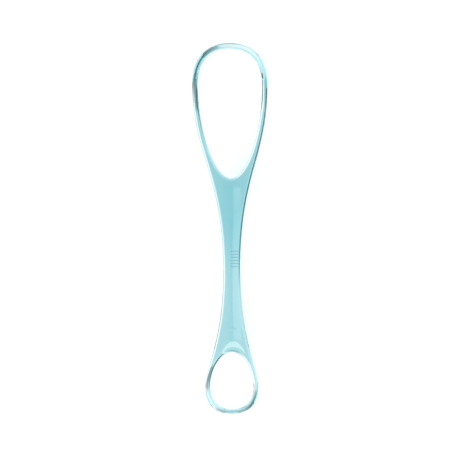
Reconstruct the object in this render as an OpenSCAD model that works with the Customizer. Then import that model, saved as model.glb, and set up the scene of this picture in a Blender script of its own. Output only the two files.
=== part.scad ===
// Double-ended tongue scraper: one clear moulding with a wide scraping loop,
// a waisted handle and a narrow scraping loop.
// Y runs along the tool towards the wide loop, Z is up, and both scraping lips
// stand on Z = 0. X = 0 is the centre line.

/* [Overall] */
// Length over both loops
total_len = 170; // [160:1:180]
// Rise of the arched middle above the loop tips
arch_rise = 10; // [7:0.5:13]
// Depth of the rounding along every edge
edge_round = 2; // [1.4:0.1:2.4]

/* [Wide loop] */
// Greatest width of the wide loop
wide_w = 34.4; // [31:0.2:38]
// From the wide tip back to the greatest width
wide_shoulder = 19; // [17:0.5:22]
// Length of the wide opening
wide_open_len = 59.8; // [56:0.2:63]
// Width of the wide rim at its tip and sides
wide_rim_w = 2.4; // [2:0.1:3]

/* [Narrow loop] */
// Greatest width of the narrow loop
narrow_w = 24.2; // [21:0.2:27]
// From the narrow tip back to the greatest width
narrow_shoulder = 12.2; // [11:0.2:14]
// Length of the narrow opening
narrow_open_len = 26.4; // [24:0.2:29]
// Width of the narrow rim at its tip and sides
narrow_rim_w = 2.1; // [1.8:0.1:2.6]

/* [Scraping lips] */
// Height of the rim at both tips, from its crown down to the lip
tip_t = 1.2; // [1:0.1:1.6]
// Width of the flat land under each lip
lip_w = 0.8; // [0.5:0.1:1.2]

/* [Handle] */
// Width of the handle at the neck
neck_w = 7.8; // [6.6:0.2:9.6]
// From the middle of the tool to the neck, towards the narrow loop
neck_back = 19.2; // [14:0.4:24]
// Thickness at the grip, the thickest part of the handle
grip_t = 3.4; // [3:0.1:4.2]
// From the middle of the tool to the grip, towards the wide loop
grip_place = 4; // [0:0.5:8]
// From the grip to where the handle has thinned to the legs
grip_reach = 32; // [26:0.5:36]
// Thickness of the loops' legs and of the narrow end of the handle
leg_t = 2.4; // [2:0.1:2.8]
// Rise of the soft ridge along the top of the handle
ridge_rise = 0.4; // [0.2:0.1:0.7]
// Material between each opening and the end of the handle
root_len = 3; // [2.4:0.2:4]

/* [Hidden] */

half_len = total_len / 2;
tip_z = tip_t / 2;

// Curve handles of each outline, as shares of the side that they run along:
// along the tip, above the shoulder, below the shoulder, beside the neck or root
wide_outline_shares = [0.58, 0.69, 0.39, 0.52];
wide_opening_shares = [0.61, 0.64, 0.49, 0.50];
narrow_outline_shares = [0.62, 0.71, 0.19, 0.61];
narrow_opening_shares = [0.38, 0.81, 0.42, 0.60];

// Where on the lower side of each opening the leg turns into the root
wide_turn_share = 0.78;
narrow_turn_share = 0.64;

// The lip is full up to this share of the way from tip to shoulder, then fades
lip_full_share = 0.6;
lip_fade_share = 0.7;
// Rounding never takes more than this share of a rim's width
round_share = 0.45;
// The ridge rises over this share of the handle at each end
ridge_fade_share = 0.22;
// The higher this power, the sooner the rim reaches its full thickness behind a tip
thicken_power = 6;

// Steps of the lofts: round the tip, along a leg, across the root, along half a handle
tip_steps = 14;
leg_steps = 14;
root_steps = 6;
handle_steps = 14;
// Angles round one edge of a section, from its crown down to its underside
edge_angles = [90, 60, 30, 0, -30, -60, -90];
section_size = 2 * len(edge_angles) + 2;

body_colour = [0.62, 0.83, 0.86];

function mix(a, b, s) = a + (b - a) * s;
function ease(s) = let (c = min(1, max(0, s))) c * c * (3 - 2 * c);

// A point and a unit heading on the curve through four control points
function curve_point(p, t) =
    pow(1 - t, 3) * p[0] + 3 * pow(1 - t, 2) * t * p[1] + 3 * (1 - t) * t * t * p[2] + t * t * t * p[3];
function curve_heading(p, t) =
    let (d = pow(1 - t, 2) * (p[1] - p[0]) + 2 * (1 - t) * t * (p[2] - p[1]) + t * t * (p[3] - p[2]))
    d / norm(d);
// The left-hand side of a heading points out of the loop
function left_of(d) = [-d.y, d.x];

// Share along a falling curve at which it reaches height y
function share_at(p, y, low = 0, high = 1, turns = 30) =
    let (middle = (low + high) / 2)
    turns == 0 ? middle
    : curve_point(p, middle).y > y ? share_at(p, y, middle, high, turns - 1)
    : share_at(p, y, low, middle, turns - 1);

// The arch over the tool's length, from 0 at both tips to 1 in the middle
function arch_share_at(y) = pow(cos(90 * y / half_len), 2);
// Height of the middle of the material: low and level at both tips, arched between
function middle_z(y) = tip_z + arch_rise * arch_share_at(y);
// How far along the handle a place is, from 0 at the wide seam to 1 at the narrow one
function along(y) = (wide_seam_y - y) / (wide_seam_y + narrow_seam_y);
// Half of the thickness: thin at both tips, even along the legs, thickest at the grip
function half_t(y) =
    let (
        rim_t = mix(tip_t, leg_t, 1 - pow(1 - arch_share_at(y), thicken_power)),
        grip_share = 1 - min(1, abs(y - grip_place) / grip_reach)
    )
    mix(rim_t, grip_t, pow(sin(90 * grip_share), 2)) / 2;

// Curves of one end of the tool, drawn with its tip towards +Y:
// from the tip to the shoulder, and from there to the neck or to the root
function outline_tip(half_w, shoulder_y, s) =
    [[0, half_len], [s[0] * half_w, half_len], [half_w, mix(shoulder_y, half_len, s[1])], [half_w, shoulder_y]];
function outline_side(half_w, shoulder_y, neck_y, s) =
    [[half_w, shoulder_y], [half_w, mix(shoulder_y, neck_y, s[2])],
     [neck_w / 2, mix(neck_y, shoulder_y, s[3])], [neck_w / 2, neck_y]];
function opening_tip(half_w, top_y, shoulder_y, s) =
    [[0, top_y], [s[0] * half_w, top_y], [half_w, mix(shoulder_y, top_y, s[1])], [half_w, shoulder_y]];
function opening_side(half_w, shoulder_y, root_y, s) =
    [[half_w, shoulder_y], [half_w, mix(shoulder_y, root_y, s[2])], [s[3] * half_w, root_y], [0, root_y]];

wide_shoulder_y = half_len - wide_shoulder;
narrow_shoulder_y = half_len - narrow_shoulder;
wide_root_y = half_len - wide_rim_w - wide_open_len;
narrow_root_y = half_len - narrow_rim_w - narrow_open_len;
wide_seam_y = wide_root_y - root_len;
narrow_seam_y = narrow_root_y - root_len;
wide_side = outline_side(wide_w / 2, wide_shoulder_y, -neck_back, wide_outline_shares);
narrow_side = outline_side(narrow_w / 2, narrow_shoulder_y, neck_back, narrow_outline_shares);

// One edge of a section. at is the edge's widest point, out its direction out of the
// material. lip goes from 0, a round edge, to 1, a flank that tapers by inset to Z = 0.
function edge_points(at, out, round_r, lip, inset) =
    [for (a = edge_angles)
        let (
            down_share = max(0, -a / 90),
            cut = mix(round_r * (1 - cos(a)), a < 0 ? inset * down_share : round_r * (1 - cos(a)), lip),
            p = at - cut * out,
            z = middle_z(p.y),
            round_z = z + half_t(p.y) * sin(a)
        )
        [p.x, p.y, a < 0 ? mix(round_z, z * (1 - down_share), lip) : round_z]];

function reversed(list) = [for (i = [len(list) - 1:-1:0]) list[i]];
function mean_point(a, b, rise) = [(a.x + b.x) / 2, (a.y + b.y) / 2, (a.z + b.z) / 2 + rise];

// A closed section: outer edge going down, underside, inner edge going up, crown
function section(outer, outer_out, outer_r, inner, inner_out, inner_r, lip, ridge) =
    let (
        inset = (norm(outer - inner) - lip_w) / 2,
        one = edge_points(outer, outer_out, outer_r, lip, inset),
        two = reversed(edge_points(inner, inner_out, inner_r, lip, inset))
    )
    concat(one, [mean_point(one[len(one) - 1], two[0], 0)], two, [mean_point(two[len(two) - 1], one[0], ridge)]);

function rim_round(a, b) = min(edge_round, norm(a - b) * round_share);
function lip_at(c) = 1 - ease((c - lip_full_share) / lip_fade_share);

// Sections of half a loop, from its tip down one leg to the middle of its root
function half_loop(half_w, shoulder_y, rim_w, root_y, side, outline_s, opening_s, turn) =
    let (
        seam_y = root_y - root_len,
        tip_out = outline_tip(half_w, shoulder_y, outline_s),
        tip_in = opening_tip(half_w - rim_w, half_len - rim_w, shoulder_y, opening_s),
        side_in = opening_side(half_w - rim_w, shoulder_y, root_y, opening_s),
        seam_share = share_at(side, seam_y),
        corner = [curve_point(side, seam_share).x, seam_y],
        tip = [for (i = [0:tip_steps])
            let (
                t = i / tip_steps,
                outer = curve_point(tip_out, t),
                inner = curve_point(tip_in, t),
                r = rim_round(outer, inner)
            )
            section(outer, left_of(curve_heading(tip_out, t)), r,
                    inner, -left_of(curve_heading(tip_in, t)), r, lip_at(t), 0)],
        leg = [for (i = [1:leg_steps])
            let (
                t = i / leg_steps,
                outer = i == leg_steps ? corner : curve_point(side, t * seam_share),
                inner = curve_point(side_in, t * turn),
                r = rim_round(outer, inner)
            )
            section(outer, [1, 0], r,
                    inner, -left_of(curve_heading(side_in, t * turn)), r, lip_at(1 + t), 0)],
        root = [for (i = [1:root_steps])
            let (
                t = i / root_steps,
                outer = [(corner.x - edge_round) * (1 - t), seam_y],
                inner = curve_point(side_in, mix(turn, 1, t))
            )
            section(outer, [1, 0], 0, inner, -left_of(curve_heading(side_in, mix(turn, 1, t))),
                    rim_round(outer, inner), 0, 0)]
    )
    concat(tip, leg, root);

function mirrored(points) = [for (p = points) [-p.x, p.y, p.z]];

// Skin between rows of points that each close on themselves
function skin(rows, size, closed) =
    [for (i = [0:rows - (closed ? 1 : 2)], j = [0:size - 1])
        let (
            a = i * size + j,
            b = i * size + (j + 1) % size,
            c = ((i + 1) % rows) * size + (j + 1) % size,
            d = ((i + 1) % rows) * size + j
        )
        each [[a, b, c], [a, c, d]]];

// A closed ring from half of its sections: down one leg and up the other
module loop(half) {
    back = [for (i = [len(half) - 2:-1:1]) mirrored(half[i])];
    rows = concat(half, back);
    polyhedron([for (row = rows) each row], skin(len(rows), section_size, true));
}

// The handle's sections from the wide seam to the narrow seam, as [half width, y]
function handle_stations() =
    let (
        wide_share = share_at(wide_side, wide_seam_y),
        narrow_share = share_at(narrow_side, narrow_seam_y),
        upper = [for (i = [0:handle_steps]) curve_point(wide_side, mix(wide_share, 1, i / handle_steps))],
        lower = [for (i = [1:handle_steps]) curve_point(narrow_side, mix(1, narrow_share, i / handle_steps))]
    )
    concat([[upper[0].x, wide_seam_y]],
           [for (i = [1:handle_steps]) upper[i]],
           [for (i = [0:handle_steps - 2]) [lower[i].x, -lower[i].y]],
           [[lower[handle_steps - 1].x, -narrow_seam_y]]);

function ridge_at(y) = ridge_rise * ease(min(along(y), 1 - along(y)) / ridge_fade_share);

module bar() {
    stations = handle_stations();
    rows = [for (s = stations)
        section([s.x, s.y], [1, 0], edge_round, [-s.x, s.y], [-1, 0], edge_round, 0, ridge_at(s.y))];
    ends = [for (row = [rows[0], rows[len(rows) - 1]]) [0, row[0].y, middle_z(row[0].y)]];
    points = concat([for (row = rows) each row], ends);
    last = (len(rows) - 1) * section_size;
    caps = [for (j = [0:section_size - 1])
        let (k = (j + 1) % section_size)
        each [[k, j, len(points) - 2], [last + j, last + k, len(points) - 1]]];
    polyhedron(points, concat(skin(len(rows), section_size, false), caps));
}

module wide_loop() {
    color(body_colour)
        loop(half_loop(wide_w / 2, wide_shoulder_y, wide_rim_w, wide_root_y,
                       wide_side, wide_outline_shares, wide_opening_shares, wide_turn_share));
}

module handle() {
    color(body_colour)
        bar();
}

module narrow_loop() {
    color(body_colour)
        mirror([0, 1, 0])
            loop(half_loop(narrow_w / 2, narrow_shoulder_y, narrow_rim_w, narrow_root_y,
                           narrow_side, narrow_outline_shares, narrow_opening_shares, narrow_turn_share));
}

wide_loop();
handle();
narrow_loop();
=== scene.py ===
"""A clear aqua tongue scraper: one moulding with a wide loop, a waisted handle and a narrow loop.

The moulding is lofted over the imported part's own sizes, finished as clear tinted plastic, and
shown from above on a white floor. Y runs along the tool towards the wide loop and Z is up.
"""

import math

import bmesh
import bpy
import numpy as np
from bpy.props import FloatProperty, FloatVectorProperty, IntProperty, PointerProperty
from mathutils import Matrix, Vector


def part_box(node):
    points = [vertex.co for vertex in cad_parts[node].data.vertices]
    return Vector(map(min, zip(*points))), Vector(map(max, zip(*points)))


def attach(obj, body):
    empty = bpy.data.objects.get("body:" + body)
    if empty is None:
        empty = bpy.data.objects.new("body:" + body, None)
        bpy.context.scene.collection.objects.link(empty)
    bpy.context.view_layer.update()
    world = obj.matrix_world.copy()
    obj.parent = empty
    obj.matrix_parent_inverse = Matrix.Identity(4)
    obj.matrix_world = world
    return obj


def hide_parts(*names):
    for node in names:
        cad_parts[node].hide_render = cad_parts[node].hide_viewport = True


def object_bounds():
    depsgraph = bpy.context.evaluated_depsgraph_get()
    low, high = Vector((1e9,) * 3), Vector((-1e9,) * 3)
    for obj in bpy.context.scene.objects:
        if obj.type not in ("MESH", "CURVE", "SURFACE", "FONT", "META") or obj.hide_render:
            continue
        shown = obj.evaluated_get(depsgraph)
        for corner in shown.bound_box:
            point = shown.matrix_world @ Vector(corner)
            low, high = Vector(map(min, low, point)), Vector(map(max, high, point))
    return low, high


bl_info = {
    "name": "Clear Tongue Scraper",
    "version": (1, 0, 0),
    "blender": (4, 5, 0),
    "location": "View3D > Sidebar > Scraper",
    "description": "Builds a clear double-ended tongue scraper with its finish, floor, lamps and camera",
    "category": "Object",
}

MM = 0.001

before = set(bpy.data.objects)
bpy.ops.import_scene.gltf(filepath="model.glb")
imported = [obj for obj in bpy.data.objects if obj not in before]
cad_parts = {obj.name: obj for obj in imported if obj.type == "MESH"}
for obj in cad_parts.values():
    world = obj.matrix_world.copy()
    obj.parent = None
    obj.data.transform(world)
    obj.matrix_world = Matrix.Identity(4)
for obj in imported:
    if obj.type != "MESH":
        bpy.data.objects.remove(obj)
CAD_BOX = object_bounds()
WIDE_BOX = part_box("wide_loop")
HANDLE_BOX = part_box("handle")
NARROW_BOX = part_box("narrow_loop")

# Half of the tool's length, the loops' widths, and from the middle to the handle's two seams
HALF_LEN = (CAD_BOX[1].y - CAD_BOX[0].y) / 2
WIDE_W = WIDE_BOX[1].x - WIDE_BOX[0].x
NARROW_W = NARROW_BOX[1].x - NARROW_BOX[0].x
WIDE_SEAM = HANDLE_BOX[1].y
NARROW_SEAM = -HANDLE_BOX[0].y

# Curve handles of each outline, as shares of the side that they run along:
# along the tip, above the shoulder, below the shoulder, beside the neck or root
WIDE_OUTLINE_SHARES = (0.58, 0.69, 0.39, 0.52)
WIDE_OPENING_SHARES = (0.61, 0.64, 0.49, 0.50)
NARROW_OUTLINE_SHARES = (0.62, 0.71, 0.19, 0.61)
NARROW_OPENING_SHARES = (0.38, 0.81, 0.42, 0.60)

# Where on the lower side of each opening the leg turns into the root
WIDE_TURN_SHARE = 0.78
NARROW_TURN_SHARE = 0.64

# How soon the thickness grows from a tip to the legs: the higher, the sooner
TIP_SWELL = 6

# The most of a rim's width that the rounding of one edge takes
ROUND_SHARE = 0.45

# Where the blade under a tip starts to turn into the round leg, and how long it takes.
# Both count along the outline: the tip is 0, the shoulder 1 and the seam 2.
BLADE_TURN = 0.6
BLADE_FADE = 0.7

# Steps of the moulding's grids
TIP_STEPS = 56
LEG_STEPS = 48
ROOT_STEPS = 16
ACROSS_STEPS = 8
ROUND_STEPS = 12
HANDLE_STEPS = 130

# Steps along an outline in which a place on it is looked up
LOOP_LINE_STEPS = 4000
HANDLE_LINE_STEPS = 2000

# Between rows over the handle's small marks, and the least between any two rows
MARK_STEP = 0.09 * MM
LEAST_STEP = 0.03 * MM

# Points of the moulding closer than this become one, and a steeper fold than this stays sharp
WELD = 0.004 * MM
SHARP_FOLD = math.radians(38)

# Noise in the finish of the plastic: features per metre, and how many finer layers
WAVE_NOISE = (220, 2)
SPECK_NOISE = (2600, 3)
CLOUD_NOISE = (90, 4)

# The flow waves are drawn out along the tool
WAVE_STRETCH = (1.0, 0.35, 1.0)

# How deep the flow waves and the specks look, and how strong the specks are
WAVE_DEPTH = 0.12 * MM
SPECK_DEPTH = 0.01 * MM
SPECK_STRENGTH = 0.08

# The part of the cloud noise over which the polish varies, and the least share of the tint in it
CLOUD_RANGE = (0.3, 0.7)
CLOUD_TINT = 0.97

# Refractive index of the plastic
REFRACTION = 1.49

# Half of the floor's side in metres, and how far it and the paper's shade lie under the lips
FLOOR_HALF = 1.5
FLOOR_DROP = 0.02 * MM
SHADE_DROP = 0.04 * MM

# The tool's own shade on the paper, which only rays through the clear plastic see, as soft strips:
# side (-1 left, 1 right), first and last place along the outline, mm inwards, half width in mm, depth.
# A place is 0 at the tip, 1 at the shoulder and 2 at the neck, and below 0 it lies past the tip.
# A strip with a depth below 0 is light that the rim gathers there.
WIDE_STRIPS = (
    (-1, 0.15, 1.15, 0.8, 1.3, 1.0),
    (1, -0.2, 0.95, 0.9, 1.4, -1.0),
)
NARROW_STRIPS = (
    (-1, 0.95, 1.5, 0.9, 0.5, 0.8),
    (1, -0.5, 0.6, 0.9, 0.8, 0.4),
    (1, 0.3, 0.95, 0.9, 0.9, 0.8),
    (-1, 0.4, 0.95, 0.9, 0.9, -1.0),
)

# The crescent of light that the narrow web gathers on the paper, in mm: its middle and half width in X,
# then for its lower and upper line the middle's Y, and how much further its ends lie towards the tip
GLOW_X = 0.8
GLOW_HALF_W = 5.5
GLOW_LOW = (-54.6, 2.7)
GLOW_HIGH = (-51.0, 6.0)

# Rows of the crescent: share of the way from its lower line to its upper one, and how light
GLOW_ROWS = ((0, 0), (0.2, 1), (0.85, 1), (1, 0))

# Steps of the shade's strips and crescent
SHADE_STEPS = 40
SHADE_ACROSS = 8

# Soft cards round the tool, in degrees: compass way, half width, lower end, upper end; then how dark.
# The way turns left from +X, and below 0 a card is bright. The ends are heights over the horizon:
# -90 is straight down, and a card whose lower end is past that reaches it.
CARDS = (
    (-42, 24, -8, 23, 0.4),
    (158, 22, -78, -52, 0.9),
    (-86, 87, -44, -6, -0.3),
    (109, 49, 20, 74, 1.0),
    (0, 50, -68, -52, -0.8),
    (0, 80, -100, -82, 0.15),
    (90, 50, -84, -62, 0.5),
)

# How far a card's sides and its ends fade, each way
CARD_SIDE_FADE = math.radians(14)
CARD_END_FADE = math.radians(6)

# The cards are teal: how much more they take from red, and less from green and blue
CARD_CAST = (1.3, 0.8, 0.75)

# Half of the height, as a share of straight up, over which the white below turns into the one above
HORIZON_FADE = 0.01

# Soft lamps, which light the floor and draw the tool's faint shadow on it: name, which its brightness
# in StudioLook has too, compass way and slant from straight up in degrees, distance and size in metres
LAMPS = (
    ("window", 215, 65, 0.6, (0.7, 0.35)),
    ("veil_lamp", 270, 25, 0.9, (0.5, 0.36)),
    ("side_lamp", 0, 16, 0.9, (0.26, 0.5)),
)

# The photograph's frame in pixels, and where the tool's two tips and its centre line lie in it
FRAME_PX = 450
TIP_PX_Y = 42.4
END_PX_Y = 414.6
MIDDLE_PX_X = 231.05

# The camera, the height over the lips of the point that it looks at, and how far it leans and turns
LENS_MM = 150
SENSOR_MM = 36
AIM_HEIGHT = 4 * MM
ROLL = math.radians(2.3)
TURN = math.radians(0.4)
CLIP_START = 0.05
CLIP_END = 10


def length(name, text, default_mm):
    """A length property, in metres, with its default written in millimetres."""
    return FloatProperty(name=name, description=text, default=default_mm * MM, unit="LENGTH", precision=5)


def share(name, text, default, low=0.0, high=1.0):
    """A plain number between two limits."""
    return FloatProperty(name=name, description=text, default=default, min=low, max=high)


def colour(name, text, default):
    """A colour property."""
    return FloatVectorProperty(name=name, description=text, default=default, subtype="COLOR", min=0, max=1)


class ScraperSizes(bpy.types.PropertyGroup):
    """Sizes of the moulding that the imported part's boxes don't give."""

    wide_shoulder: length("Wide shoulder", "From the wide tip back to the loop's greatest width", 19)
    wide_rim: length("Wide rim", "Width of the wide loop's rim", 2.4)
    narrow_shoulder: length("Narrow shoulder", "From the narrow tip to the loop's greatest width", 12.2)
    narrow_rim: length("Narrow rim", "Width of the narrow loop's rim", 2.1)
    root: length("Root", "Material between each opening and the end of the handle", 3)
    neck_w: length("Neck width", "Width of the handle at its neck", 7.8)
    neck_back: length("Neck place", "From the tool's middle to the neck, towards the narrow loop", 19.2)
    grip_t: length("Grip thickness", "Thickness at the thickest part of the handle", 3.4)
    grip_y: length("Grip place", "From the tool's middle to its thickest part, towards the wide loop", 4)
    grip_half: length("Grip reach", "From the thickest part to where it has thinned to the legs", 32)
    leg_t: length("Leg thickness", "Thickness of the loops' legs", 2.4)
    tip_t: length("Tip thickness", "Height of the rim at both tips, crown to lip", 1.2)
    lip_w: length("Lip width", "Width of the flat land under each lip", 0.8)
    edge: length("Edge rounding", "Depth of the rounding along every edge", 1.3)
    arch: length("Arch", "Rise of the middle of the handle above the tips", 10)
    ridge: length("Ridge", "Rise of the soft ridge along the handle", 0.4)
    ridge_reach: length("Ridge reach", "How far the ridge's slopes reach from the centre line", 4.5)
    ridge_run: length("Ridge run-out", "Length over which the ridge rises at each end", 3.5)
    ridge_soft: share("Ridge softness", "How far the ridge's crest is rounded off", 0.12)


class ScraperMarks(bpy.types.PropertyGroup):
    """Small raised and sunk marks on the handle."""

    rib_count: IntProperty(name="Ribs", description="How many small cross ribs", default=6, min=0, max=12)
    rib_len: length("Rib length", "Length of a rib, across the handle", 4)
    rib_w: length("Rib width", "Width of a rib, along the handle", 0.7)
    rib_pitch: length("Rib spacing", "From one rib to the next", 1.4)
    rib_rise: length("Rib rise", "How far a rib stands above the handle", 0.14)
    rib_side: length("Rib offset", "From the centre line to the middle of the ribs", 1.2)
    rib_place: length("Rib place", "From the neck to the middle of the ribs, towards the wide loop", 5.6)
    ejector_len: length("Ejector mark length", "Length of the sunk ejector mark, across the handle", 3)
    ejector_w: length("Ejector mark width", "Width of the sunk ejector mark, along the handle", 0.9)
    ejector_deep: length("Ejector mark depth", "Depth of the sunk ejector mark", 0.15)
    ejector_place: length("Ejector mark place", "From the middle of the tool to the ejector mark", 45.8)


class PlasticLook(bpy.types.PropertyGroup):
    """Finish of the clear aqua plastic."""

    tint: colour("Surface tint", "Colour of light that passes the surface", (0.97, 0.995, 1.0))
    depth_tint: colour("Depth tint", "Colour that a deep layer lets through", (0.10, 0.70, 0.775))
    density: share("Depth strength", "How strongly depth tints, per metre", 360, 0, 5000)
    shadow_tint: colour("Shadow tint", "Colour of light that passes to the floor", (0.72, 0.90, 0.93))
    polish: share("Roughness", "Roughness of the moulded surface", 0.06)
    haze: share("Roughness variation", "How much the polish varies over the surface", 0.05)
    wave: share("Flow waves", "Strength of the soft waves left by the flow of the plastic", 0.25)


class StudioLook(bpy.types.PropertyGroup):
    """Floor, surroundings and lamps."""

    floor_tone: share("Floor tone", "Share of the light on it that the floor gives back", 0.25)
    floor_glow: share("Floor glow", "White that the camera sees on top of the floor's own tone", 0.67)
    shade: colour("Shade", "Colour of the tool's own shade on the paper", (0.01, 0.06, 0.06))
    glow: colour("Glow", "Colour of the light gathered on the paper", (1.0, 0.92, 0.88))
    glow_level: share("Glow level", "Brightness of the light gathered on the paper", 1.25, 0, 4)
    below: share("Below", "Brightness of the white below, as gloss and clear plastic see it", 1.02, 0, 4)
    above: share("Above", "Brightness of the white above, as gloss and clear plastic see it", 1.34, 0, 4)
    window: share("Window", "Brightness of the low lamp at the lower left", 6.0, 0, 40)
    veil_lamp: share("Veil lamp", "Brightness of the lamp overhead, past the narrow loop", 3.2, 0, 40)
    side_lamp: share("Side lamp", "Brightness of the lamp overhead, to the right", 2.0, 0, 40)


def mix(a, b, s):
    """The value a share s of the way from a to b."""
    return a + (b - a) * s


def ease(s):
    """A soft step from 0 to 1."""
    c = np.clip(s, 0, 1)
    return c * c * (3 - 2 * c)


def hill(s):
    """A soft hill: 1 at 0, falling to 0 at -1 and at 1."""
    return np.cos(math.pi / 2 * s) ** 2


def bump(d, width):
    """A round hump of that width: 1 in the middle, 0 at its sides."""
    return np.clip(1 - (2 * d / width) ** 2, 0, 1) ** 1.5


def slot(d, span, soft):
    """1 inside a span, falling to 0 over a soft end."""
    return ease((span / 2 - np.abs(d)) / soft + 0.5)


def curve(points, t):
    """Points and unit headings on the curve through four control points."""
    p = np.array(points, float)
    t = np.atleast_1d(t)[:, None]
    u = 1 - t
    at = u**3 * p[0] + 3 * u**2 * t * p[1] + 3 * u * t * t * p[2] + t**3 * p[3]
    heading = u**2 * (p[1] - p[0]) + 2 * u * t * (p[2] - p[1]) + t * t * (p[3] - p[2])
    return at, heading / np.linalg.norm(heading, axis=1)[:, None]


def left_of(heading):
    """The left-hand side of each heading, which is the outside of a loop."""
    return np.stack([-heading[:, 1], heading[:, 0]], axis=1)


class Form:
    """Heights and outlines of the moulding, from its sizes."""

    def __init__(self, scene):
        self.sizes = scene.scraper_sizes
        self.marks = scene.scraper_marks

    def middle(self, y):
        """Height of the middle of the material: level at both tips, arched between."""
        return self.sizes.tip_t / 2 + self.sizes.arch * hill(y / HALF_LEN)

    def half_t(self, y):
        """Half of the thickness: thin at the tips, thickest in the middle of the handle."""
        s = self.sizes
        full = 1 - (1 - hill(y / HALF_LEN)) ** TIP_SWELL
        away = np.clip(np.abs(y - s.grip_y) / s.grip_half, 0, 1)
        return mix(mix(s.tip_t, s.leg_t, full), s.grip_t, hill(away)) / 2

    def end(self, half_w, shoulder, rim, seam, neck_y, outline, opening):
        """Curves of one end of the tool, drawn with its tip towards +Y."""
        shoulder_y = HALF_LEN - shoulder
        root_y = seam + self.sizes.root
        top_y = HALF_LEN - rim
        in_w = half_w - rim
        neck = self.sizes.neck_w / 2
        return {
            "tip_out": [(0, HALF_LEN), (outline[0] * half_w, HALF_LEN),
                        (half_w, mix(shoulder_y, HALF_LEN, outline[1])), (half_w, shoulder_y)],
            "side_out": [(half_w, shoulder_y), (half_w, mix(shoulder_y, neck_y, outline[2])),
                         (neck, mix(neck_y, shoulder_y, outline[3])), (neck, neck_y)],
            "tip_in": [(0, top_y), (opening[0] * in_w, top_y),
                       (in_w, mix(shoulder_y, top_y, opening[1])), (in_w, shoulder_y)],
            "side_in": [(in_w, shoulder_y), (in_w, mix(shoulder_y, root_y, opening[2])),
                        (opening[3] * in_w, root_y), (0, root_y)],
            "seam": seam,
        }

    def wide_end(self):
        """Curves of the wide loop."""
        s = self.sizes
        return self.end(WIDE_W / 2, s.wide_shoulder, s.wide_rim, WIDE_SEAM, -s.neck_back,
                        WIDE_OUTLINE_SHARES, WIDE_OPENING_SHARES)

    def narrow_end(self):
        """Curves of the narrow loop, drawn with its tip towards +Y."""
        s = self.sizes
        return self.end(NARROW_W / 2, s.narrow_shoulder, s.narrow_rim, NARROW_SEAM, s.neck_back,
                        NARROW_OUTLINE_SHARES, NARROW_OPENING_SHARES)

    def ridge(self, x, y, flat_w):
        """Height of the soft ridge, from the wide opening's edge to the narrow seam."""
        s = self.sizes
        soft = s.ridge_soft
        away = x / np.minimum(flat_w, s.ridge_reach)
        fall = (np.sqrt(away**2 + soft**2) - soft) / (math.sqrt(1 + soft**2) - soft)
        wide_run = ease((WIDE_SEAM + s.root - s.edge - y) / s.ridge_run)
        narrow_run = ease((y + NARROW_SEAM) / s.ridge_run)
        return s.ridge * wide_run * narrow_run * (1 - np.minimum(fall, 1))

    def relief(self, x, y, flat_w):
        """Height of the handle's ridge, ribs and ejector mark over its top surface."""
        m = self.marks
        height = self.ridge(x, y, flat_w)
        for i in range(m.rib_count):
            rib_y = m.rib_place - self.sizes.neck_back + (i - (m.rib_count - 1) / 2) * m.rib_pitch
            rib = bump(y - rib_y, m.rib_w) * slot(x - m.rib_side, m.rib_len, m.rib_w)
            height = height + m.rib_rise * rib
        soft = m.ejector_w / 3
        ejector = slot(y + m.ejector_place, m.ejector_w, soft) * slot(x, m.ejector_len, soft)
        return height - m.ejector_deep * ejector


def loop_stations(form, end, turn):
    """Half a loop from its tip to the middle of its root, as arrays with one row per station."""
    seam = end["seam"]
    edge = form.sizes.edge
    fine = np.linspace(0, 1, LOOP_LINE_STEPS + 1)
    side, _ = curve(end["side_out"], fine)
    seam_share = float(np.interp(-seam, -side[:, 1], fine))
    corner_x = float(np.interp(seam_share, fine, side[:, 0]))
    t_tip = np.linspace(0, 1, TIP_STEPS + 1)
    t_leg = np.linspace(0, 1, LEG_STEPS + 1)[1:]
    t_root = np.linspace(0, 1, ROOT_STEPS + 1)[1:]
    tip_out, tip_out_way = curve(end["tip_out"], t_tip)
    tip_in, tip_in_way = curve(end["tip_in"], t_tip)
    leg_out, _ = curve(end["side_out"], t_leg * seam_share)
    leg_out[-1] = (corner_x, seam)
    t_side_in = np.concatenate([t_leg * turn, mix(turn, 1, t_root)])
    side_in, side_in_way = curve(end["side_in"], t_side_in)
    root_out = np.stack([(corner_x - edge) * (1 - t_root), np.full(ROOT_STEPS, seam)], axis=1)
    outer = np.concatenate([tip_out, leg_out, root_out])
    inner = np.concatenate([tip_in, side_in])
    sideways = np.tile([1.0, 0.0], (LEG_STEPS + ROOT_STEPS, 1))
    along = np.concatenate([t_tip, 1 + t_leg, np.full(ROOT_STEPS, 2)])
    width = np.linalg.norm(outer - inner, axis=1)
    return {
        "outer": outer,
        "outer_way": np.concatenate([left_of(tip_out_way), sideways]),
        "inner": inner,
        "inner_way": -np.concatenate([left_of(tip_in_way), left_of(side_in_way)]),
        "round": np.minimum(edge, width * ROUND_SHARE),
        "width": width,
        "lip": 1 - ease((along - BLADE_TURN) / BLADE_FADE),
        "rim": TIP_STEPS + LEG_STEPS + 1,
    }


def edge_grid(form, at, way, round_r, lip, inset):
    """Rows of points round one edge, from its crown down to its underside."""
    angles = np.linspace(math.pi / 2, -math.pi / 2, ROUND_STEPS + 1)
    down = np.clip(-angles / (math.pi / 2), 0, 1)
    round_cut = round_r[:, None] * (1 - np.cos(angles))
    blade_cut = np.where(angles < 0, inset[:, None] * down, round_cut)
    cut = mix(round_cut, blade_cut, lip[:, None])
    x = at[:, 0, None] - cut * way[:, 0, None]
    y = at[:, 1, None] - cut * way[:, 1, None]
    middle = form.middle(y)
    round_z = middle + form.half_t(y) * np.sin(angles)
    z = np.where(angles < 0, mix(round_z, middle * (1 - down), lip[:, None]), round_z)
    return np.stack([x, y, z], axis=2)


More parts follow.
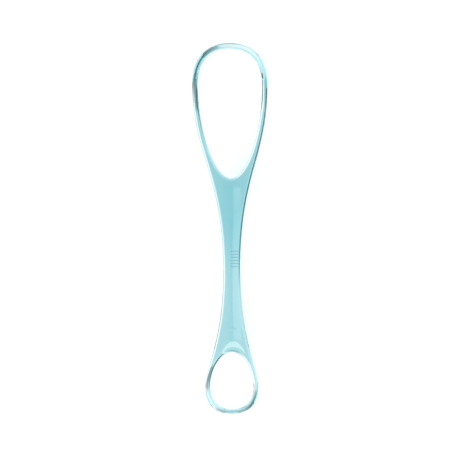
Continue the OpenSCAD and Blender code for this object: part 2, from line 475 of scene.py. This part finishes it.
def sheet_grid(form, inner, outer, lip, top, ridged):
    """Rows of points from the inner edge to the outer one, across the underside or the top.

    A ridged top carries on the handle's ridge.
    """
    s = np.linspace(0, 1, ACROSS_STEPS + 1)[None, :, None]
    xy = mix(inner[:, None, :], outer[:, None, :], s)
    y = xy[:, :, 1]
    if top:
        z = form.middle(y) + form.half_t(y)
        if ridged:
            z = z + form.ridge(xy[:, :, 0], y, form.sizes.ridge_reach)
    else:
        z = mix(form.middle(y) - form.half_t(y), 0, lip[:, None])
    return np.concatenate([xy, z[:, :, None]], axis=2)


def loop_grids(form, end, turn, ridged):
    """The grids that skin one loop, drawn with its tip towards +Y."""
    st = loop_stations(form, end, turn)
    n = st["rim"]
    inset = (st["width"] - form.sizes.lip_w) / 2
    low_cut = mix(st["round"], inset, st["lip"])
    is_rim = (np.arange(len(st["round"])) < n).astype(float)
    grids = [
        edge_grid(form, st["outer"][:n], st["outer_way"][:n], st["round"][:n], st["lip"][:n], inset[:n]),
        edge_grid(form, st["inner"], st["inner_way"], st["round"], st["lip"], inset),
    ]
    for top, cut in ((True, st["round"]), (False, low_cut)):
        inner = st["inner"] - cut[:, None] * st["inner_way"]
        outer = st["outer"] - (cut * is_rim)[:, None] * st["outer_way"]
        grids.append(sheet_grid(form, inner, outer, st["lip"], top, ridged))
    return grids + [g * (-1, 1, 1) for g in grids]


def handle_rows(form):
    """Places of the handle's rows, closer together over the ribs and the ejector mark."""
    marks = form.marks
    rib_y = marks.rib_place - form.sizes.neck_back
    rib_half = marks.rib_count * marks.rib_pitch / 2
    ejector_y = -marks.ejector_place
    rows = np.concatenate([
        np.linspace(WIDE_SEAM, -NARROW_SEAM, HANDLE_STEPS + 1),
        np.arange(rib_y - rib_half, rib_y + rib_half, MARK_STEP),
        np.arange(ejector_y - marks.ejector_w, ejector_y + marks.ejector_w, MARK_STEP),
    ])
    rows = np.sort(rows)[::-1]
    keep = np.concatenate([[True], np.abs(np.diff(rows)) > LEAST_STEP])
    keep[-1] = True
    return rows[keep]


def handle_grids(form):
    """The grids that skin the handle between its two seams."""
    edge = form.sizes.edge
    fine = np.linspace(0, 1, HANDLE_LINE_STEPS + 1)
    wide, _ = curve(form.wide_end()["side_out"], fine)
    narrow, _ = curve(form.narrow_end()["side_out"], fine)
    line = np.concatenate([wide, (narrow * (1, -1))[::-1][1:]])
    y = handle_rows(form)
    half_w = np.interp(-y, -line[:, 1], line[:, 0])
    flat = (half_w - edge)[:, None]
    x = flat * np.linspace(-1, 1, 2 * ROOT_STEPS + 1)
    yy = np.repeat(y[:, None], x.shape[1], axis=1)
    top_z = form.middle(yy) + form.half_t(yy) + form.relief(x, yy, flat)
    low_z = form.middle(yy) - form.half_t(yy)
    at = np.stack([half_w, y], axis=1)
    way = np.tile([1.0, 0.0], (len(y), 1))
    none = np.zeros(len(y))
    right = edge_grid(form, at, way, np.full(len(y), edge), none, none)
    left = right * (-1, 1, 1)
    right[:, 0, 2] = top_z[:, -1]
    left[:, 0, 2] = top_z[:, 0]
    return [np.stack([x, yy, top_z], axis=2), np.stack([x, yy, low_z], axis=2), right, left]


def skin(bm, grid):
    """Adds one grid of points to a mesh as square faces, and returns its points."""
    rows, size = grid.shape[:2]
    verts = [bm.verts.new(p) for p in grid.reshape(-1, 3)]
    for i in range(rows - 1):
        for j in range(size - 1):
            a = i * size + j
            bm.faces.new((verts[a], verts[a + 1], verts[a + size + 1], verts[a + size]))
    return verts


def finished_mesh(name, bm):
    """A named mesh from what was built."""
    mesh = bpy.data.meshes.new(name)
    bm.to_mesh(mesh)
    bm.free()
    return mesh


def moulding_mesh(form):
    """The whole moulding as one closed mesh."""
    bm = bmesh.new()
    for grid in loop_grids(form, form.wide_end(), WIDE_TURN_SHARE, ridged=True):
        skin(bm, grid)
    for grid in loop_grids(form, form.narrow_end(), NARROW_TURN_SHARE, ridged=False):
        skin(bm, grid * (1, -1, 1))
    for grid in handle_grids(form):
        skin(bm, grid)
    bmesh.ops.remove_doubles(bm, verts=bm.verts, dist=WELD)
    bmesh.ops.recalc_face_normals(bm, faces=bm.faces)
    open_edges = sum(1 for e in bm.edges if not e.is_manifold)
    if open_edges:
        raise RuntimeError(f"the moulding's mesh has {open_edges} open edges")
    mesh = finished_mesh("moulding", bm)
    mesh.shade_smooth()
    mesh.set_sharp_from_angle(angle=SHARP_FOLD)
    return mesh


def lay_shade(bm, xy, level):
    """Adds one patch of shade, whose points hold how dark they are, or how light at a level below 0."""
    dark = bm.verts.layers.float["dark"]
    light = bm.verts.layers.float["light"]
    grid = np.concatenate([xy, np.zeros((*level.shape, 1))], axis=2)
    for vert, amount in zip(skin(bm, grid), level.ravel()):
        vert[dark] = max(amount, 0)
        vert[light] = max(-amount, 0)


def lay_strip(bm, end, flip, side, first, last, inwards, half, depth):
    """Adds one soft strip of shade along the outline of one end, faded at its sides and ends."""
    along = np.linspace(0, 1, SHADE_STEPS + 1)
    across = np.linspace(-1, 1, SHADE_ACROSS + 1)
    place = mix(first, last, along)
    tip, tip_way = curve(end["tip_out"], np.clip(np.abs(place), 0, 1))
    leg, leg_way = curve(end["side_out"], np.clip(place - 1, 0, 1))
    on_tip = (place < 1)[:, None]
    past_tip = np.stack([np.where(place < 0, -1, 1), np.ones(len(place))], axis=1)
    at = np.where(on_tip, tip, leg) * past_tip
    out = left_of(np.where(on_tip, tip_way, leg_way)) * past_tip
    cut = (inwards + half * across) * MM
    xy = at[None] - cut[:, None, None] * out[None]
    level = depth * (1 - across**2)[:, None] * np.sqrt(np.sin(math.pi * along))
    lay_shade(bm, xy * (side, flip), level)


def lay_crescent(bm):
    """Adds the crescent of light under the narrow web, faded at its lower and upper line."""
    bow = np.linspace(-1, 1, SHADE_STEPS + 1)
    way_up, light = np.hsplit(np.array(GLOW_ROWS, float), 2)
    low = GLOW_LOW[0] - GLOW_LOW[1] * bow**2
    high = GLOW_HIGH[0] - GLOW_HIGH[1] * bow**2
    y = mix(low, high, way_up)
    x = np.broadcast_to(GLOW_X + GLOW_HALF_W * bow, y.shape)
    lay_shade(bm, np.stack([x, y], axis=2) * MM, -np.broadcast_to(light, y.shape))


def shade_mesh(form):
    """The tool's shade on the paper, and the light that it gathers there."""
    bm = bmesh.new()
    bm.verts.layers.float.new("dark")
    bm.verts.layers.float.new("light")
    for strip in WIDE_STRIPS:
        lay_strip(bm, form.wide_end(), 1, *strip)
    for strip in NARROW_STRIPS:
        lay_strip(bm, form.narrow_end(), -1, *strip)
    lay_crescent(bm)
    return finished_mesh("paper_shade", bm)


class Nodes:
    """Adds nodes to the emptied node tree of a material or world, and links them."""

    def __init__(self, owner):
        owner.use_nodes = True
        self.tree = owner.node_tree
        self.tree.nodes.clear()

    def feed(self, socket, value):
        """Links a socket from another one, or sets it to a value."""
        if isinstance(value, bpy.types.NodeSocket):
            self.tree.links.new(value, socket)
        else:
            socket.default_value = value

    def add(self, kind, *values, settings=None, **named):
        """A new node with its settings, and its inputs fed in order or by name."""
        node = self.tree.nodes.new(kind)
        for name, value in (settings or {}).items():
            setattr(node, name, value)
        for socket, value in zip(node.inputs, values):
            self.feed(socket, value)
        for name, value in named.items():
            self.feed(node.inputs[name.replace("_", " ")], value)
        return node

    def calc(self, operation, a, b):
        """A sum, product or other value of two values or sockets."""
        return self.add("ShaderNodeMath", a, b, settings={"operation": operation}).outputs["Value"]

    def between(self, value, start, end):
        """A soft step of a value, from 0 at the start to 1 at the end."""
        step = self.add("ShaderNodeMapRange", settings={"interpolation_type": "SMOOTHSTEP"},
                        Value=value, From_Min=start, From_Max=end)
        return step.outputs["Result"]

    def noise(self, place, grain):
        """Soft noise with so many features per metre and finer layers."""
        scale, layers = grain
        return self.add("ShaderNodeTexNoise", Vector=place, Scale=scale, Detail=layers).outputs["Fac"]

    def emission(self, rgb, strength):
        """A plain glow."""
        return self.add("ShaderNodeEmission", Color=(*rgb, 1), Strength=strength).outputs["Emission"]

    def clear(self, rgb):
        """A clear surface that tints what passes it."""
        return self.add("ShaderNodeBsdfTransparent", Color=(*rgb, 1)).outputs["BSDF"]

    def blend(self, amount, first, second):
        """Two shaders, mixed by the second one's share."""
        return self.add("ShaderNodeMixShader", amount, first, second).outputs["Shader"]


def clear_plastic(look):
    """Clear aqua plastic: tinted by depth, polished by the mould, with soft flow waves."""
    mat = bpy.data.materials.new("aqua_plastic")
    n = Nodes(mat)
    place = n.add("ShaderNodeTexCoord").outputs["Object"]
    stretched = n.add("ShaderNodeMapping", Vector=place, Scale=WAVE_STRETCH).outputs["Vector"]
    cloud = n.noise(place, CLOUD_NOISE)
    flow = n.add("ShaderNodeBump", Strength=look.wave, Distance=WAVE_DEPTH,
                 Height=n.noise(stretched, WAVE_NOISE))
    fine = n.add("ShaderNodeBump", Strength=SPECK_STRENGTH, Distance=SPECK_DEPTH,
                 Height=n.noise(place, SPECK_NOISE), Normal=flow.outputs["Normal"])
    polish = n.add("ShaderNodeMapRange", Value=cloud, From_Min=CLOUD_RANGE[0], From_Max=CLOUD_RANGE[1],
                   To_Min=look.polish, To_Max=look.polish + look.haze)
    tone = n.add("ShaderNodeMapRange", Value=cloud, To_Min=CLOUD_TINT)
    tinted = n.add("ShaderNodeVectorMath", settings={"operation": "SCALE"},
                   Vector=look.tint, Scale=tone.outputs["Result"])
    plastic = n.add("ShaderNodeBsdfPrincipled", IOR=REFRACTION, Transmission_Weight=1.0,
                    Base_Color=tinted.outputs["Vector"], Roughness=polish.outputs["Result"],
                    Normal=fine.outputs["Normal"])
    ray = n.add("ShaderNodeLightPath").outputs
    lighting = n.calc("MAXIMUM", ray["Is Shadow Ray"], ray["Is Diffuse Ray"])
    surface = n.blend(lighting, plastic.outputs["BSDF"], n.clear(look.shadow_tint))
    depth = n.add("ShaderNodeVolumeAbsorption", Color=(*look.depth_tint, 1), Density=look.density)
    n.add("ShaderNodeOutputMaterial", Surface=surface, Volume=depth.outputs["Volume"])
    return mat


def pale_floor(look):
    """A pale matt floor that the camera sees white, with the tool's soft shadow left in it."""
    mat = bpy.data.materials.new("white_floor")
    mat.cycles.emission_sampling = "NONE"
    n = Nodes(mat)
    straight = n.add("ShaderNodeLightPath").outputs["Is Camera Ray"]
    grey = look.floor_tone
    matt = n.add("ShaderNodeBsdfDiffuse", Color=(grey, grey, grey, 1))
    glow = n.emission((1, 1, 1), n.calc("MULTIPLY", straight, look.floor_glow))
    both = n.add("ShaderNodeAddShader", matt.outputs["BSDF"], glow)
    n.add("ShaderNodeOutputMaterial", Surface=both.outputs["Shader"])
    return mat


def soft_shade(look):
    """Dark teal where the shade's points are dark, a pale glow where they are light, else clear."""
    mat = bpy.data.materials.new("paper_shade")
    mat.cycles.emission_sampling = "NONE"
    n = Nodes(mat)
    dark, light = (n.add("ShaderNodeAttribute", settings={"attribute_name": name}).outputs["Fac"]
                   for name in ("dark", "light"))
    shaded = n.blend(dark, n.clear((1, 1, 1)), n.emission(look.shade, 1.0))
    lit = n.blend(light, shaded, n.emission(look.glow, look.glow_level))
    n.add("ShaderNodeOutputMaterial", Surface=lit)
    return mat


def card(n, flat_way, up, way, half, low, high, depth):
    """The share of light that a card leaves: 1 away from it, less on a dark one, more on a bright one."""
    facing = n.add("ShaderNodeVectorMath", flat_way, (math.cos(way), math.sin(way), 0),
                   settings={"operation": "DOT_PRODUCT"}).outputs["Value"]
    wide = n.between(facing, math.cos(half + CARD_SIDE_FADE), math.cos(max(half - CARD_SIDE_FADE, 0)))
    over = n.between(up, math.sin(low - CARD_END_FADE), math.sin(low + CARD_END_FADE))
    under = n.between(up, math.sin(high + CARD_END_FADE), math.sin(high - CARD_END_FADE))
    cover = n.calc("MULTIPLY", n.calc("MULTIPLY", over, under), wide)
    return n.calc("SUBTRACT", 1.0, n.calc("MULTIPLY", cover, depth))


def studio_world(look):
    """White to the camera. Gloss and clear plastic see white below, a brighter white above, and cards."""
    world = bpy.data.worlds.new("studio")
    bpy.context.scene.world = world
    n = Nodes(world)
    split = n.add("ShaderNodeSeparateXYZ", n.add("ShaderNodeTexCoord").outputs["Generated"]).outputs
    up = split["Z"]
    level = n.add("ShaderNodeCombineXYZ", split["X"], split["Y"]).outputs["Vector"]
    flat_way = n.add("ShaderNodeVectorMath", level, settings={"operation": "NORMALIZE"}).outputs["Vector"]
    below = n.between(up, HORIZON_FADE, -HORIZON_FADE)
    base = n.add("ShaderNodeMix", Factor=below, A=look.above, B=look.below).outputs["Result"]
    tone = 1.0
    for *angles, depth in CARDS:
        kept = card(n, flat_way, up, *map(math.radians, angles), depth)
        tone = n.calc("MULTIPLY", tone, kept)
    tone = n.calc("MAXIMUM", tone, 0.0)
    channels = [n.calc("POWER", tone, power) for power in CARD_CAST]
    tinted = n.add("ShaderNodeCombineColor", *channels).outputs["Color"]
    room = n.add("ShaderNodeBackground", Color=tinted, Strength=base).outputs["Background"]
    white = n.add("ShaderNodeBackground", Color=(1, 1, 1, 1), Strength=1.0).outputs["Background"]
    straight = n.add("ShaderNodeLightPath").outputs["Is Camera Ray"]
    n.add("ShaderNodeOutputWorld", Surface=n.blend(straight, room, white))


def add_object(name, data):
    """A new object in the scene."""
    obj = bpy.data.objects.new(name, data)
    bpy.context.scene.collection.objects.link(obj)
    return obj


def lay_floor(look):
    """Lays the floor just under the lips. Gloss and clear plastic see the world's white in its place."""
    mesh = bpy.data.meshes.new("floor")
    corners = [(x * FLOOR_HALF, y * FLOOR_HALF, 0) for x, y in ((-1, -1), (1, -1), (1, 1), (-1, 1))]
    mesh.from_pydata(corners, [], [(0, 1, 2, 3)])
    mesh.materials.append(pale_floor(look))
    floor = add_object("floor", mesh)
    floor.location.z = -FLOOR_DROP
    floor.visible_glossy = False
    floor.visible_transmission = False


def lay_paper_shade(form, look):
    """Lays the tool's own shade on the paper, where only rays through the clear plastic see it."""
    mesh = shade_mesh(form)
    mesh.materials.append(soft_shade(look))
    shade = add_object("paper_shade", mesh)
    shade.location.z = -SHADE_DROP
    shade.visible_camera = False
    shade.visible_diffuse = False
    shade.visible_glossy = False
    shade.visible_shadow = False


def soft_lamp(name, way, slant, distance, size, radiance):
    """A large soft lamp that faces the tool, placed by its compass way and its slant from straight up."""
    data = bpy.data.lights.new(name, "AREA")
    data.shape = "RECTANGLE"
    data.size, data.size_y = size
    data.energy = radiance * math.pi * size[0] * size[1]
    lamp = add_object(name, data)
    flat = distance * math.sin(slant)
    lamp.location = (flat * math.cos(way), flat * math.sin(way), distance * math.cos(slant))
    lamp.rotation_mode = "QUATERNION"
    lamp.rotation_quaternion = lamp.location.to_track_quat("Z", "Y")
    lamp.visible_camera = False
    lamp.visible_glossy = False
    lamp.visible_transmission = False


class SCRAPER_OT_moulding(bpy.types.Operator):
    """Build the moulding: both loops and the handle in one piece"""

    bl_idname = "scraper.moulding"
    bl_label = "Moulding"

    def execute(self, context):
        mesh = moulding_mesh(Form(context.scene))
        mesh.materials.append(clear_plastic(context.scene.scraper_plastic))
        moulding = add_object("moulding", mesh)
        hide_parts("wide_loop", "handle", "narrow_loop")
        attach(moulding, "root")
        return {"FINISHED"}


class SCRAPER_OT_stage(bpy.types.Operator):
    """Lay the white floor and set the studio round it"""

    bl_idname = "scraper.stage"
    bl_label = "Floor and Studio"

    def execute(self, context):
        look = context.scene.scraper_studio
        lay_floor(look)
        lay_paper_shade(Form(context.scene), look)
        studio_world(look)
        return {"FINISHED"}


class SCRAPER_OT_lamps(bpy.types.Operator):
    """Hang the soft lamps"""

    bl_idname = "scraper.lamps"
    bl_label = "Lamps"

    def execute(self, context):
        for name, way, slant, distance, size in LAMPS:
            radiance = getattr(context.scene.scraper_studio, name)
            soft_lamp(name, math.radians(way), math.radians(slant), distance, size, radiance)
        return {"FINISHED"}


class SCRAPER_OT_camera(bpy.types.Operator):
    """Place the camera above the tool"""

    bl_idname = "scraper.camera"
    bl_label = "Camera"

    def execute(self, context):
        data = bpy.data.cameras.new("camera")
        data.lens = LENS_MM
        data.sensor_width = SENSOR_MM
        data.clip_start = CLIP_START
        data.clip_end = CLIP_END
        scale = 2 * HALF_LEN / (END_PX_Y - TIP_PX_Y)
        aim_x = (FRAME_PX / 2 - MIDDLE_PX_X) * scale
        aim_y = -(FRAME_PX / 2 - (TIP_PX_Y + END_PX_Y) / 2) * scale
        distance = FRAME_PX * scale * LENS_MM / SENSOR_MM
        lean = Matrix.Rotation(-ROLL, 4, "Y") @ Matrix.Rotation(-TURN, 4, "Z")
        camera = add_object("camera", data)
        camera.matrix_world = (
            Matrix.Translation((0, 0, AIM_HEIGHT)) @ lean @ Matrix.Translation((aim_x, aim_y, distance))
        )
        context.scene.camera = camera
        return {"FINISHED"}


class SCRAPER_PT_panel(bpy.types.Panel):
    """Steps and settings of the scraper"""

    bl_idname = "SCRAPER_PT_panel"
    bl_label = "Tongue Scraper"
    bl_space_type = "VIEW_3D"
    bl_region_type = "UI"
    bl_category = "Scraper"

    def draw(self, context):
        for operator in STEPS:
            self.layout.operator(operator.bl_idname)
        for name in GROUPS:
            group = getattr(context.scene, name)
            box = self.layout.box()
            for key in group.bl_rna.properties.keys():
                if key not in ("name", "rna_type"):
                    box.prop(group, key)


STEPS = (SCRAPER_OT_moulding, SCRAPER_OT_stage, SCRAPER_OT_lamps, SCRAPER_OT_camera)
GROUPS = {
    "scraper_sizes": ScraperSizes,
    "scraper_marks": ScraperMarks,
    "scraper_plastic": PlasticLook,
    "scraper_studio": StudioLook,
}


def register():
    """Register the classes and hang the settings on the scene."""
    for cls in (*GROUPS.values(), *STEPS, SCRAPER_PT_panel):
        bpy.utils.register_class(cls)
    for name, cls in GROUPS.items():
        setattr(bpy.types.Scene, name, PointerProperty(type=cls))


def unregister():
    """Take the settings and the classes away again."""
    for name in GROUPS:
        delattr(bpy.types.Scene, name)
    for cls in (SCRAPER_PT_panel, *reversed(STEPS), *reversed(tuple(GROUPS.values()))):
        bpy.utils.unregister_class(cls)


def main():
    """Build everything."""
    register()
    bpy.context.scene.view_settings.view_transform = "Standard"
    bpy.ops.scraper.moulding()
    bpy.ops.scraper.stage()
    bpy.ops.scraper.lamps()
    bpy.ops.scraper.camera()


if __name__ == "__main__":
    main()
